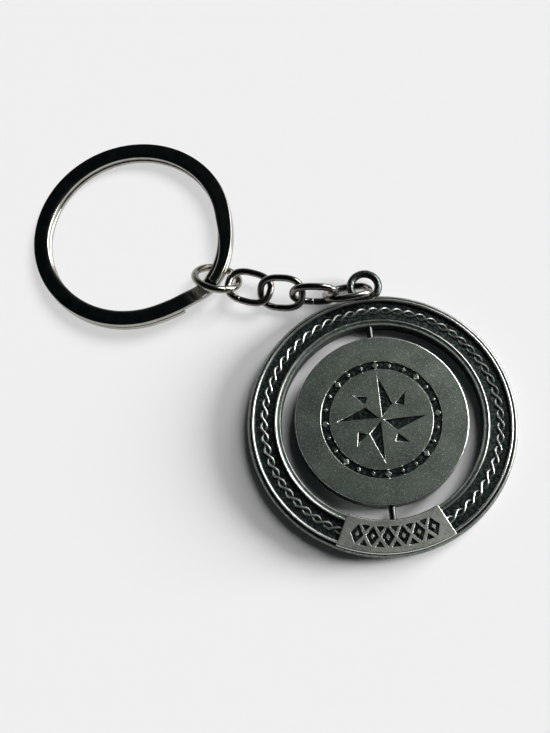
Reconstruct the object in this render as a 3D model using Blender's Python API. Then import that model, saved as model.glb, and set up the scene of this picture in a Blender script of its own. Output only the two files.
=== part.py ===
"""A rotating keyring, lying on its back on a table.

A thick engraved disc spins on two pins inside a cast frame. The frame's eyelet carries four oval chain links,
a round jump ring and a flat-wire split ring. The pin axis runs along Y, with the eyelet towards +Y, and the
chain runs off to the left. All sizes are in metres and all angles in degrees.
"""

import math

import bmesh
import bpy
from mathutils import Matrix, Vector

# Frame casting: widths are counted inwards from its edge, and heights are above its flat back
FRAME_RADIUS = 0.0200
BACK_EDGE_BEVEL = 0.0003
RIM_HEIGHT = 0.0021
RIM_SHOULDER = 0.0003
RIM_GROOVE_WIDTH = 0.0003
RIM_BAND_WIDTH = 0.0009
BORDER_WIDTH = 0.0034
LIP_WIDTH = 0.0007
RIDGE_HEIGHT = 0.0027
RIDGE_TOP_WIDTH = 0.00022
RIDGE_FOOT_WIDTH = 0.0005
BORDER_FLOOR_HEIGHT = 0.0021
LIP_HEIGHT = 0.0025
OUTER_RIDGE_RADIUS = FRAME_RADIUS - RIM_BAND_WIDTH
INNER_RIDGE_RADIUS = OUTER_RIDGE_RADIUS - BORDER_WIDTH
OPENING_RADIUS = INNER_RIDGE_RADIUS - LIP_WIDTH

# Rope border: slanting strands in the sunk border, half way between the ridges
ROPE_WIDTH = 0.0011
ROPE_STRAND_WIDTH = 0.00032
ROPE_HEIGHT = 0.00025
ROPE_PITCH_DEG = 6.0
ROPE_SLANT_DEG = -4.6
ROPE_START_DEG = -60.0
ROPE_COUNT = 51
ROPE_RADIUS = (OUTER_RIDGE_RADIUS + INNER_RIDGE_RADIUS) / 2

# Banner plate over the lower pin: its edges lie just inside the rim's edge and past the opening's
BANNER_HALF_SPAN_DEG = 26.0
BANNER_INSET = 0.00035
BANNER_OVERHANG = 0.00022
BANNER_RISE = 0.0003
BANNER_UNDERSIDE = 0.0005
LOZENGE_LENGTH = 0.0026
LOZENGE_WIDTH = 0.0020
LOZENGE_DEPTH = 0.00025
LOZENGE_COUNT = 5
LOZENGE_PITCH_DEG = 8.6
BANNER_OUTER_RADIUS = FRAME_RADIUS - BANNER_INSET
BANNER_INNER_RADIUS = OPENING_RADIUS - BANNER_OVERHANG
BANNER_TOP = RIDGE_HEIGHT + BANNER_RISE

# Eyelet cast on the frame's rim
EYELET_RADIUS = 0.00215
EYELET_WIRE_RADIUS = 0.0006
EYELET_STAND_OFF = 0.0017
EYELET_HEIGHT = 0.00185

# Spinner disc and its pins
DISC_CLEARANCE = 0.00223
DISC_THICKNESS = 0.0032
DISC_EDGE_BEVEL = 0.00025
PIN_HEIGHT = 0.00176
PIN_RADIUS = 0.00050
PIN_DEPTH_IN_DISC = 0.0016
PIN_DEPTH_IN_FRAME = 0.0008
PIN_FIT = 0.00006
PIN_END_GAP = 0.00020
DISC_RADIUS = OPENING_RADIUS - DISC_CLEARANCE

# Engraving on both faces of the disc: a compass rose in a sunk ring, with shares of the rose's long points
ENGRAVING_DEPTH = 0.00032
RING_GROOVE_INSET = 0.0038
RING_GROOVE_WIDTH = 0.0014
ROSE_CLEARANCE = 0.0005
ROSE_SHORT_POINT_SHARE = 0.62
ROSE_WAIST_SHARE = 0.40
ROSE_SPINE_GAP = 0.00012
ROSE_POINTS = 8
RING_GROOVE_OUTER = DISC_RADIUS - RING_GROOVE_INSET
RING_GROOVE_INNER = RING_GROOVE_OUTER - RING_GROOVE_WIDTH
ROSE_LONG_POINT = RING_GROOVE_INNER - ROSE_CLEARANCE

# Oval chain links of round wire
LINK_LENGTH = 0.00785
LINK_WIDTH = 0.00605
LINK_WIRE_RADIUS = 0.000575
LINK_OVAL_POWER = 2.6
ROUND_POWER = 2.0
LINK_OVERLAP = 0.00150
EYELET_REACH = 0.00257
FIRST_LINK_RISE = 0.00059
FIRST_LINK_ANGLE_DEG = 202.0
LINK_HEADINGS_DEG = (188.0, 174.0, 167.0, 159.0)
LINK_CLIMBS_DEG = (8.0, 5.0, -9.0, 3.0)
LINK_LEANS_DEG = (-131.0, -84.0, -40.0, 1.0)

# Jump ring between the chain and the split ring
JUMP_RING_RADIUS = 0.0035
JUMP_RING_WIRE_RADIUS = 0.000575
JUMP_RING_HEADING_DEG = 158.0
JUMP_RING_CLIMB_DEG = 3.0
JUMP_RING_LEAN_DEG = 41.0

# Hinges, by the piece that swings: the direction of each one's axis, at the wire that carries it
HINGE_AXES = {
    "chain_link_1": (-0.70, 0.65, 0.30),
    "chain_link_2": (0.0, 1.0, 0.0),
    "chain_link_3": (0.0, 0.0, 1.0),
    "chain_link_4": (0.0, 0.0, 1.0),
    "jump_ring": (0.0, 1.0, 0.1),
    "split_ring": (0.0, 0.0, 1.0),
}

# Split ring: flat wire in two turns, with a ramp from the upper turn to the lower one
SPLIT_RING_OUTER_RADIUS = 0.0163
SPLIT_RING_WIRE_WIDTH = 0.00255
SPLIT_RING_WIRE_THICKNESS = 0.00085
SPLIT_RING_COIL_GAP = 0.00042
SPLIT_RING_CORNER = 0.00018
SPLIT_RING_HEADING_DEG = 143.4
SPLIT_RING_SLACK = 0.00065
SPLIT_RING_LIFT = 0.00160
SPLIT_RING_BULGE = 0.0008
BULGE_HALF_SPAN_DEG = 40.0
RAMP_SPAN_DEG = 17.0
RAMP_END_GAP_DEG = 2.5
FREE_END_AHEAD_DEG = 3.0
TAPER_SPAN_DEG = 45.0
TAPER_WIDTH = 0.0015

# Fineness of the round forms
FRAME_STEPS = 96
DISC_STEPS = 80
WIRE_SIDES = 8
EYELET_STEPS = 28
EYELET_SIDES = 16
LINK_POINTS = 36
RING_STEP_DEG = 7.5
PIN_SIDES = 20
BANNER_STEPS = 20
CONTACT_POINTS = 144

# One overrun serves every cut, and points closer than the merge distance become one
CUT_OVERRUN = 0.0004
MERGE_DISTANCE = 0.0000001


def clear_scene():
    for old in list(bpy.data.objects):
        bpy.data.objects.remove(old, do_unlink=True)


def metal(name, colour, roughness):
    """A Principled metal of one colour."""
    made = bpy.data.materials.new(name)
    made.use_nodes = True
    shader = made.node_tree.nodes["Principled BSDF"]
    shader.inputs["Base Color"].default_value = (*colour, 1.0)
    shader.inputs["Metallic"].default_value = 1.0
    shader.inputs["Roughness"].default_value = roughness
    return made


def mesh_object(name, shape, finish=None):
    """Turns a bmesh into a linked object, with its faces turned outwards."""
    bmesh.ops.recalc_face_normals(shape, faces=shape.faces)
    mesh = bpy.data.meshes.new(name)
    shape.to_mesh(mesh)
    shape.free()
    mesh.shade_smooth()
    mesh.set_sharp_from_angle(angle=math.radians(35.0))
    made = bpy.data.objects.new(name, mesh)
    bpy.context.scene.collection.objects.link(made)
    if finish:
        mesh.materials.append(finish)
    return made


def as_cutter(made):
    made.hide_render = True
    made.display_type = "WIRE"
    return made


def hang(piece, carrier):
    """Parents one object to another, with both left where they stand."""
    piece.parent = carrier
    piece.matrix_parent_inverse = carrier.matrix_basis.inverted()


def boolean(target, other, operation):
    """Joins or cuts with another object, which stays behind as a hidden guide."""
    step = target.modifiers.new(f"{operation.lower()} {other.name}", "BOOLEAN")
    step.operation = operation
    step.object = as_cutter(other)
    hang(other, target)


def polar(radius, angle_deg, height=0.0):
    """A point at this radius and angle, counted counter-clockwise from +X."""
    angle = math.radians(angle_deg)
    return Vector((radius * math.cos(angle), radius * math.sin(angle), height))


def smooth_step(share):
    share = min(max(share, 0.0), 1.0)
    return share * share * (3.0 - 2.0 * share)


def turned(profile, steps, on_axis):
    """Spins a profile of (radius, height) points round Z. One on the axis starts and ends there."""
    shape = bmesh.new()
    corners = [shape.verts.new((radius, 0.0, height)) for radius, height in profile]
    edges = [shape.edges.new(pair) for pair in zip(corners, corners[1:])]
    if not on_axis:
        edges.append(shape.edges.new((corners[-1], corners[0])))
    bmesh.ops.spin(
        shape,
        geom=corners + edges,
        cent=(0.0, 0.0, 0.0),
        axis=(0.0, 0.0, 1.0),
        angle=math.tau,
        steps=steps,
        use_merge=True,
    )
    bmesh.ops.remove_doubles(shape, verts=shape.verts, dist=MERGE_DISTANCE)
    return shape


def loft(rings, closed):
    """Joins rings of points, each with the same count, into a tube that is closed on itself or capped."""
    shape = bmesh.new()
    rows = [[shape.verts.new(point) for point in ring] for ring in rings]
    count = len(rows[0])
    pairs = list(zip(rows, rows[1:]))
    if closed:
        pairs.append((rows[-1], rows[0]))
    for first, second in pairs:
        for index in range(count):
            after = (index + 1) % count
            shape.faces.new((first[index], first[after], second[after], second[index]))
    if not closed:
        shape.faces.new(rows[0])
        shape.faces.new(rows[-1])
    return shape


def prism(outline, bottom, top):
    """A flat outline of (x, y) points made solid between two heights."""
    return loft([[(x, y, height) for x, y in outline] for height in (bottom, top)], closed=False)


def rod(radius, start, end, sides):
    """A round rod between two points on a line along Y."""
    shape = bmesh.new()
    middle = (start + end) / 2
    bmesh.ops.create_cone(
        shape,
        cap_ends=True,
        segments=sides,
        radius1=radius,
        radius2=radius,
        depth=(end - start).length,
        matrix=Matrix.Translation(middle) @ Matrix.Rotation(math.radians(90.0), 4, "X"),
    )
    return shape


def frame_profile():
    """The frame's section, as (radius, height), round from the back of the opening."""
    rim = FRAME_RADIUS - RIM_SHOULDER
    half_top = RIDGE_TOP_WIDTH / 2
    half_foot = RIDGE_FOOT_WIDTH / 2
    return [
        (OPENING_RADIUS + BACK_EDGE_BEVEL, 0.0),
        (FRAME_RADIUS - BACK_EDGE_BEVEL, 0.0),
        (FRAME_RADIUS, BACK_EDGE_BEVEL),
        (FRAME_RADIUS, RIM_HEIGHT - RIM_SHOULDER),
        (rim, RIM_HEIGHT),
        (rim - RIM_GROOVE_WIDTH, RIM_HEIGHT),
        (OUTER_RIDGE_RADIUS + half_top, RIDGE_HEIGHT),
        (OUTER_RIDGE_RADIUS - half_top, RIDGE_HEIGHT),
        (OUTER_RIDGE_RADIUS - half_foot, BORDER_FLOOR_HEIGHT),
        (INNER_RIDGE_RADIUS + half_foot, BORDER_FLOOR_HEIGHT),
        (INNER_RIDGE_RADIUS + half_top, RIDGE_HEIGHT),
        (INNER_RIDGE_RADIUS - half_top, RIDGE_HEIGHT),
        (INNER_RIDGE_RADIUS - half_foot, LIP_HEIGHT),
        (OPENING_RADIUS, LIP_HEIGHT),
        (OPENING_RADIUS, BACK_EDGE_BEVEL),
    ]


def sector(inner, outer, half_span_deg, middle_deg, steps):
    """The outline of a plate between two radii, as (x, y) points."""
    angles = [middle_deg + half_span_deg * (2 * step / steps - 1) for step in range(steps + 1)]
    outside = [polar(outer, angle) for angle in angles]
    inside = [polar(inner, angle) for angle in reversed(angles)]
    return [(point.x, point.y) for point in outside + inside]


def banner_plate():
    outline = sector(BANNER_INNER_RADIUS, BANNER_OUTER_RADIUS, BANNER_HALF_SPAN_DEG, -90.0, BANNER_STEPS)
    return prism(outline, BANNER_UNDERSIDE, BANNER_TOP)


def rope_strands():
    """Short slanting strands all round the border, apart from the banner's place."""
    shape = bmesh.new()
    inner = ROPE_RADIUS - ROPE_WIDTH / 2
    outer = ROPE_RADIUS + ROPE_WIDTH / 2
    half_width_deg = math.degrees(ROPE_STRAND_WIDTH / ROPE_RADIUS)
    for index in range(ROPE_COUNT):
        angle = ROPE_START_DEG + ROPE_PITCH_DEG * index
        start = angle - ROPE_SLANT_DEG / 2
        end = angle + ROPE_SLANT_DEG / 2
        corners = (
            polar(inner, start - half_width_deg),
            polar(inner, start + half_width_deg),
            polar(outer, end + half_width_deg),
            polar(outer, end - half_width_deg),
        )
        outline = [(corner.x, corner.y) for corner in corners]
        add_prism(shape, outline, BORDER_FLOOR_HEIGHT - CUT_OVERRUN, BORDER_FLOOR_HEIGHT + ROPE_HEIGHT)
    return shape


def lozenge_cutter():
    """A row of sunk lozenges along the banner."""
    shape = bmesh.new()
    middle_radius = (BANNER_INNER_RADIUS + BANNER_OUTER_RADIUS) / 2
    for index in range(LOZENGE_COUNT):
        angle = -90.0 + LOZENGE_PITCH_DEG * (index - (LOZENGE_COUNT - 1) / 2)
        centre = polar(middle_radius, angle)
        out = polar(LOZENGE_LENGTH / 2, angle)
        across = polar(LOZENGE_WIDTH / 2, angle + 90.0)
        corners = (centre + out, centre + across, centre - out, centre - across)
        outline = [(corner.x, corner.y) for corner in corners]
        add_prism(shape, outline, BANNER_TOP - LOZENGE_DEPTH, BANNER_TOP + CUT_OVERRUN)
    return shape


def add_prism(shape, outline, bottom, top):
    """Adds one more separate prism to a cutter."""
    lower = [shape.verts.new((x, y, bottom)) for x, y in outline]
    upper = [shape.verts.new((x, y, top)) for x, y in outline]
    count = len(outline)
    shape.faces.new(lower)
    shape.faces.new(upper)
    for index in range(count):
        after = (index + 1) % count
        shape.faces.new((lower[index], lower[after], upper[after], upper[index]))


def eyelet_centre():
    return Vector((0.0, FRAME_RADIUS + EYELET_STAND_OFF, EYELET_HEIGHT))


def eyelet_line(count):
    """The middle of the eyelet's wire."""
    return [eyelet_centre() + polar(EYELET_RADIUS, 360.0 * step / count) for step in range(count)]


def eyelet():
    """A ring of round wire that lies flat, cast onto the rim."""
    rings = []
    for step in range(EYELET_STEPS):
        angle = 360.0 * step / EYELET_STEPS
        ring = []
        for side in range(EYELET_SIDES):
            turn = 360.0 * side / EYELET_SIDES
            across = polar(EYELET_WIRE_RADIUS, turn)
            ring.append(eyelet_centre() + polar(EYELET_RADIUS + across.x, angle, across.y))
        rings.append(ring)
    return loft(rings, closed=True)


def pin_ends(direction):
    """Where a pin starts in the disc and ends in the frame: direction +1 at the eyelet, -1 at the banner."""
    inner = DISC_RADIUS - PIN_DEPTH_IN_DISC
    outer = OPENING_RADIUS + PIN_DEPTH_IN_FRAME
    return [Vector((0.0, direction * reach, PIN_HEIGHT)) for reach in (inner, outer)]


def pin_hole(direction):
    """The cutter for a pin's two blind holes, a little wider and longer than the pin."""
    start, end = pin_ends(direction)
    longer = Vector((0.0, direction * PIN_END_GAP, 0.0))
    return rod(PIN_RADIUS + PIN_FIT, start - longer, end + longer, PIN_SIDES)


def make_frame(finish):
    frame = mesh_object("frame", turned(frame_profile(), FRAME_STEPS, on_axis=False), finish)
    boolean(frame, mesh_object("rope_form", rope_strands()), "UNION")
    boolean(frame, mesh_object("banner_form", banner_plate()), "UNION")
    boolean(frame, mesh_object("eyelet_form", eyelet()), "UNION")
    boolean(frame, mesh_object("lozenge_cutter", lozenge_cutter()), "DIFFERENCE")
    for name, direction in (("upper", 1.0), ("lower", -1.0)):
        boolean(frame, mesh_object(f"{name}_frame_hole", pin_hole(direction)), "DIFFERENCE")
    return frame


def make_pins(finish):
    pins = []
    for name, direction in (("upper_pin", 1.0), ("lower_pin", -1.0)):
        start, end = pin_ends(direction)
        pins.append(mesh_object(name, rod(PIN_RADIUS, start, end, PIN_SIDES), finish))
    return pins


def disc_profile():
    """The disc's section about its own middle, from the top of the axis to the bottom."""
    top = DISC_THICKNESS / 2
    groove = top - ENGRAVING_DEPTH
    upper = [
        (0.0, top),
        (RING_GROOVE_INNER, top),
        (RING_GROOVE_INNER, groove),
        (RING_GROOVE_OUTER, groove),
        (RING_GROOVE_OUTER, top),
        (DISC_RADIUS - DISC_EDGE_BEVEL, top),
        (DISC_RADIUS, top - DISC_EDGE_BEVEL),
    ]
    return upper + [(radius, -height) for radius, height in reversed(upper)]


def rose_cutter():
    """The dark half of each point of the compass rose, cut into both faces."""
    shape = bmesh.new()
    step_deg = 360.0 / ROSE_POINTS
    for index in range(ROSE_POINTS):
        angle = 90.0 + step_deg * index
        tip = ROSE_LONG_POINT * (ROSE_SHORT_POINT_SHARE if index % 2 else 1.0)
        beside = polar(ROSE_SPINE_GAP, angle - 90.0)
        corners = (
            polar(2 * ROSE_SPINE_GAP, angle) + beside,
            polar(ROSE_LONG_POINT * ROSE_WAIST_SHARE, angle - step_deg / 2) + beside,
            polar(tip, angle) + beside,
        )
        outline = [(corner.x, corner.y) for corner in corners]
        top = DISC_THICKNESS / 2
        add_prism(shape, outline, top - ENGRAVING_DEPTH, top + CUT_OVERRUN)
        mirrored = [(-x, y) for x, y in outline]
        add_prism(shape, mirrored, -top - CUT_OVERRUN, -top + ENGRAVING_DEPTH)
    return shape


def make_disc(finish):
    """The disc's origin is on the pin axis, which it spins about."""
    disc = mesh_object("spinner_disc", turned(disc_profile(), DISC_STEPS, on_axis=True), finish)
    rose = mesh_object("rose_cutter", rose_cutter())
    for made in (disc, rose):
        made.location = (0.0, 0.0, PIN_HEIGHT)
    boolean(disc, rose, "DIFFERENCE")
    for name, direction in (("upper", 1.0), ("lower", -1.0)):
        boolean(disc, mesh_object(f"{name}_disc_hole", pin_hole(direction)), "DIFFERENCE")
    return disc


def wire_loop(name, points, wire_radius, finish):
    """A closed loop of round wire through these points."""
    curve = bpy.data.curves.new(name, "CURVE")
    curve.dimensions = "3D"
    curve.bevel_depth = wire_radius
    curve.bevel_resolution = WIRE_SIDES // 4
    spline = curve.splines.new("POLY")
    spline.points.add(len(points) - 1)
    for target, point in zip(spline.points, points):
        target.co = (*point, 1.0)
    spline.use_cyclic_u = True
    curve.materials.append(finish)
    made = bpy.data.objects.new(name, curve)
    bpy.context.scene.collection.objects.link(made)
    return made


def oval_point(half_length, half_width, power, angle):
    """A point on a rounded oval: power 2 is an ellipse, and a higher one has straighter sides."""
    along, across = math.cos(angle), math.sin(angle)
    x = math.copysign(abs(along) ** (2.0 / power), along) * half_length
    y = math.copysign(abs(across) ** (2.0 / power), across) * half_width
    return Vector((x, y, 0.0))


def oval_wire(half_length, half_width, power, count):
    """Evenly spaced points round the oval."""
    fine = [oval_point(half_length, half_width, power, math.tau * step / 720) for step in range(721)]
    reach = [0.0]
    for before, after in zip(fine, fine[1:]):
        reach.append(reach[-1] + (after - before).length)
    points = []
    index = 0
    for step in range(count):
        wanted = reach[-1] * step / count
        while reach[index + 1] < wanted:
            index += 1
        share = (wanted - reach[index]) / (reach[index + 1] - reach[index])
        points.append(fine[index].lerp(fine[index + 1], share))
    return points


def link_axes(heading_deg, climb_deg, lean_deg):
    """The long, wide and flat directions of a wire loop that heads this way and leans about its length."""
    heading, climb, lean = (math.radians(angle) for angle in (heading_deg, climb_deg, lean_deg))
    level = Vector((math.cos(heading), math.sin(heading), 0.0))
    long_way = level * math.cos(climb) + Vector((0.0, 0.0, math.sin(climb)))
    side = Vector((-math.sin(heading), math.cos(heading), 0.0))
    upward = long_way.cross(side)
    wide_way = side * math.cos(lean) + upward * math.sin(lean)
    return long_way, wide_way, long_way.cross(wide_way)


def placed(made, place, axes):
    """Stands an object's X, Y and Z along three directions, with its origin at a place."""
    made.matrix_basis = Matrix.Translation(place) @ Matrix(axes).transposed().to_4x4()
    return made


def first_link_middle():
    """The first link's middle. Its wire passes down through the eyelet and under the eyelet's far side."""
    long_way = link_axes(LINK_HEADINGS_DEG[0], LINK_CLIMBS_DEG[0], LINK_LEANS_DEG[0])[0]
    half_length = LINK_LENGTH / 2 - LINK_WIRE_RADIUS
    held_at = eyelet_centre() + polar(EYELET_RADIUS, FIRST_LINK_ANGLE_DEG)
    return held_at + long_way * (half_length - EYELET_REACH) + Vector((0.0, 0.0, FIRST_LINK_RISE))


def chain_poses():
    """The middle and the directions of each link in turn, and of the jump ring after them."""
    half_length = LINK_LENGTH / 2 - LINK_WIRE_RADIUS
    angles = list(zip(LINK_HEADINGS_DEG, LINK_CLIMBS_DEG, LINK_LEANS_DEG))
    angles.append((JUMP_RING_HEADING_DEG, JUMP_RING_CLIMB_DEG, JUMP_RING_LEAN_DEG))
    halves = [half_length] * len(LINK_HEADINGS_DEG) + [JUMP_RING_RADIUS]
    middle = first_link_middle()
    poses = []
    for turns, half in zip(angles, halves):
        axes = link_axes(*turns)
        if poses:
            middle = middle + before * (half_length - LINK_OVERLAP) + axes[0] * half
        poses.append((middle, axes))
        before = axes[0]
    return poses


def wire_line(loop, middle, axes):
    """A flat loop of points, taken to where its wire lies."""
    return [middle + axes[0] * point.x + axes[1] * point.y for point in loop]


def nearest_place(line, other):
    """The place on one wire's middle line that is nearest to another wire."""
    return min(line, key=lambda place: min((place - point).length for point in other))


def make_hinge(name, place, carrier):
    """An empty on the hinge's axis, which lies along its Z. Whatever swings there hangs on it."""
    hinge = bpy.data.objects.new(f"hinge_of_{name}", None)
    bpy.context.scene.collection.objects.link(hinge)
    turn = Vector(HINGE_AXES[name]).to_track_quat("Z", "Y")
    hinge.matrix_basis = Matrix.Translation(place) @ turn.to_matrix().to_4x4()
    hang(hinge, carrier)
    return hinge


def make_chain(frame, finish):
    """The four oval links and the jump ring, each hinged on the one before."""
    half_length = LINK_LENGTH / 2 - LINK_WIRE_RADIUS
    half_width = LINK_WIDTH / 2 - LINK_WIRE_RADIUS
    carrier = frame
    held_on = eyelet_line(CONTACT_POINTS)
    pieces = []
    for number, (middle, axes) in enumerate(chain_poses(), start=1):
        is_link = number <= len(LINK_HEADINGS_DEG)
        name = f"chain_link_{number}" if is_link else "jump_ring"
        wire_radius = LINK_WIRE_RADIUS if is_link else JUMP_RING_WIRE_RADIUS
        oval = (half_length, half_width, LINK_OVAL_POWER)
        if not is_link:
            oval = (JUMP_RING_RADIUS, JUMP_RING_RADIUS, ROUND_POWER)
        line = wire_line(oval_wire(*oval, CONTACT_POINTS), middle, axes)
        hinge = make_hinge(name, nearest_place(held_on, line), carrier)
        carrier = placed(wire_loop(name, oval_wire(*oval, LINK_POINTS), wire_radius, finish), middle, axes)
        hang(carrier, hinge)
        held_on = line
        pieces.append(carrier)
    return pieces, held_on


def band_section(width, inner_shift):
    """The flat wire's section as (across, up) points, with cut corners and its inner side shifted out."""
    outside = width / 2
    inside = -width / 2 + inner_shift
    high = SPLIT_RING_WIRE_THICKNESS / 2
    corner = SPLIT_RING_CORNER
    return [
        (outside, -high + corner),
        (outside, high - corner),
        (outside - corner, high),
        (inside + corner, high),
        (inside, high - corner),
        (inside, -high + corner),
        (inside + corner, -high),
        (outside - corner, -high),
    ]


def split_ring_state(turn_deg):
    """This far along the two turns: the angle from the jump ring, height share, radius and taper share."""
    ramp_start = 360.0 - RAMP_SPAN_DEG - RAMP_END_GAP_DEG
    ramp_share = smooth_step((turn_deg - ramp_start) / RAMP_SPAN_DEG)
    angle = turn_deg - FREE_END_AHEAD_DEG
    wrapped = (angle + 180.0) % 360.0 - 180.0
    bulge_share = smooth_step(1.0 - abs(wrapped) / BULGE_HALF_SPAN_DEG)
    middle = SPLIT_RING_OUTER_RADIUS - SPLIT_RING_WIRE_WIDTH / 2
    last = 2 * ramp_start + RAMP_SPAN_DEG
    taper_share = smooth_step(1.0 - min(turn_deg, last - turn_deg) / TAPER_SPAN_DEG)
    return angle, 1.0 - ramp_share, middle + SPLIT_RING_BULGE * bulge_share, taper_share


def split_ring_wire():
    """One flat wire, an unbroken band through both turns, about the ring's own middle."""
    last = 2 * (360.0 - RAMP_SPAN_DEG - RAMP_END_GAP_DEG) + RAMP_SPAN_DEG
    steps = round(last / RING_STEP_DEG)
    rise = (SPLIT_RING_WIRE_THICKNESS + SPLIT_RING_COIL_GAP) / 2
    rings = []
    for step in range(steps + 1):
        angle, height_share, radius, taper_share = split_ring_state(last * step / steps)
        height = rise * (2 * height_share - 1)
        section = band_section(SPLIT_RING_WIRE_WIDTH, (SPLIT_RING_WIRE_WIDTH - TAPER_WIDTH) * taper_share)
        rings.append([polar(radius + across, angle, height + up) for across, up in section])
    return rings


def least_coil_gap():
    """The smallest distance between the upper and lower turns, measured on the section's points."""
    rings = split_ring_wire()
    turn = round(len(rings) * 360.0 / (720.0 - 2 * RAMP_END_GAP_DEG - RAMP_SPAN_DEG))
    gaps = []
    for index, ring in enumerate(rings[: len(rings) - turn // 2]):
        for other in rings[index + turn // 2 :]:
            gaps += [(a - b).length for a in ring for b in other]
    return min(gaps)


def split_ring_pose():
    """The split ring lies with its far side on the table and its near side on the jump ring's low wire."""
    jump_middle = chain_poses()[-1][0]
    heading = polar(1.0, SPLIT_RING_HEADING_DEG)
    band_radius = SPLIT_RING_OUTER_RADIUS - SPLIT_RING_WIRE_WIDTH / 2 + SPLIT_RING_BULGE
    tilt = math.asin(SPLIT_RING_LIFT / (band_radius + SPLIT_RING_OUTER_RADIUS))
    long_way = -heading * math.cos(tilt) + Vector((0.0, 0.0, math.sin(tilt)))
    wide_way = Vector((0.0, 0.0, 1.0)).cross(long_way).normalized()
    half_stack = SPLIT_RING_WIRE_THICKNESS + SPLIT_RING_COIL_GAP / 2
    middle = jump_middle + heading * (SPLIT_RING_SLACK + band_radius)
    middle.z = SPLIT_RING_OUTER_RADIUS * math.sin(tilt) + half_stack * math.cos(tilt)
    return middle, (long_way, wide_way, long_way.cross(wide_way))


def make_split_ring(jump_ring, jump_line, finish):
    """The split ring, hinged on the jump ring's wire."""
    middle, axes = split_ring_pose()
    rings = split_ring_wire()
    band_line = [sum(ring, Vector()) / len(ring) for ring in rings]
    line = [middle + Matrix(axes).transposed() @ place for place in band_line]
    ring = placed(mesh_object("split_ring", loft(rings, closed=False), finish), middle, axes)
    hang(ring, make_hinge("split_ring", nearest_place(jump_line, line), jump_ring))
    return ring


def stand_on_origin(root, pieces):
    """Moves the whole so that the origin is under the middle of its bounding box, on the table."""
    graph = bpy.context.evaluated_depsgraph_get()
    corners = []
    for piece in pieces:
        solid = piece.evaluated_get(graph)
        mesh = solid.to_mesh()
        corners += [solid.matrix_world @ vertex.co for vertex in mesh.vertices]
        solid.to_mesh_clear()
    low = [min(corner[axis] for corner in corners) for axis in range(3)]
    high = [max(corner[axis] for corner in corners) for axis in range(3)]
    root.location = (-(low[0] + high[0]) / 2, -(low[1] + high[1]) / 2, -low[2])


def print_hinges():
    """Each hinge's place and axis once the whole stands on the origin, in metres."""
    for name in HINGE_AXES:
        hinge = bpy.data.objects[f"hinge_of_{name}"].matrix_world
        place = ", ".join(f"{part:.5f}" for part in hinge.translation)
        axis = ", ".join(f"{part:.4f}" for part in hinge.col[2][:3])
        print(f"hinge of {name}: at {place} about {axis}")


def main():
    clear_scene()
    pewter = metal("antique_silver", (0.33, 0.35, 0.34), 0.38)
    satin = metal("satin_pewter", (0.42, 0.46, 0.43), 0.42)
    steel = metal("pin_steel", (0.70, 0.70, 0.70), 0.22)
    nickel = metal("dark_nickel", (0.30, 0.29, 0.28), 0.12)
    bright = metal("polished_steel", (0.55, 0.55, 0.56), 0.08)
    root = bpy.data.objects.new("keyring", None)
    bpy.context.scene.collection.objects.link(root)
    frame = make_frame(pewter)
    hang(frame, root)
    carried = [make_disc(satin), *make_pins(steel)]
    for piece in carried:
        hang(piece, frame)
    chain, jump_line = make_chain(frame, nickel)
    split_ring = make_split_ring(chain[-1], jump_line, bright)
    bpy.context.view_layer.update()
    stand_on_origin(root, [frame, *carried, *chain, split_ring])
    bpy.context.view_layer.update()
    print_hinges()
    print(f"least gap between the split ring's turns: {least_coil_gap() * 1000:.2f} mm")


main()
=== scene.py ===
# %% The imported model, as a fixed frame
import math

import bmesh
import bpy
import numpy as np
from mathutils import Matrix, Vector
from mathutils.geometry import tessellate_polygon


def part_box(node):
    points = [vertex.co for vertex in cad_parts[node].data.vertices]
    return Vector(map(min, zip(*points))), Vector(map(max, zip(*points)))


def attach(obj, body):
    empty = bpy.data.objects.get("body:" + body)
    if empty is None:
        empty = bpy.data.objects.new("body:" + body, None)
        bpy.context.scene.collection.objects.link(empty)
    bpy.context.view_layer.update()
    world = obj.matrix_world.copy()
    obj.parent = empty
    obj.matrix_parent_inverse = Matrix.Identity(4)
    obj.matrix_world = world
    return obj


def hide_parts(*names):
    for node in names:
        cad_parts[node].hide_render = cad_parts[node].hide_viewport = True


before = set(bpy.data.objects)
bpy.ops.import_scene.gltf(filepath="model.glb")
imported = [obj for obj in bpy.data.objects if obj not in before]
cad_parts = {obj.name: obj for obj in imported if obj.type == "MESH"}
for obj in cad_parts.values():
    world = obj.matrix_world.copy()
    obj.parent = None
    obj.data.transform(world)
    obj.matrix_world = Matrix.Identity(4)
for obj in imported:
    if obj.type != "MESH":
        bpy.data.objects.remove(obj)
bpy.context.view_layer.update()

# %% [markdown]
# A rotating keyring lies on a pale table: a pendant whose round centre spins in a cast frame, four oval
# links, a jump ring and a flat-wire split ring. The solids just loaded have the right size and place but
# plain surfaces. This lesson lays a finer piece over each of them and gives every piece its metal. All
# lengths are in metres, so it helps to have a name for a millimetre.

MM = 0.001


# %% [markdown]
# The camera comes first, because every later choice is judged through it. The photograph was taken from
# above and a little from the front, with the camera rolled so that the keyring runs from the upper left to
# the lower right. A camera's own axes are right, up and backwards, so its rotation is a matrix with those
# three columns.

# %% Camera
CAMERA_PLACE = Vector((7.69, -49.63, 136.62)) * MM
CAMERA_AHEAD = Vector((-0.0459, 0.3106, -0.9494)).normalized()
CAMERA_TOP = Vector((0.1047, 0.9466, 0.3047))
LENS_MM = 45.6
NEAREST_SEEN = 10 * MM


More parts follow.
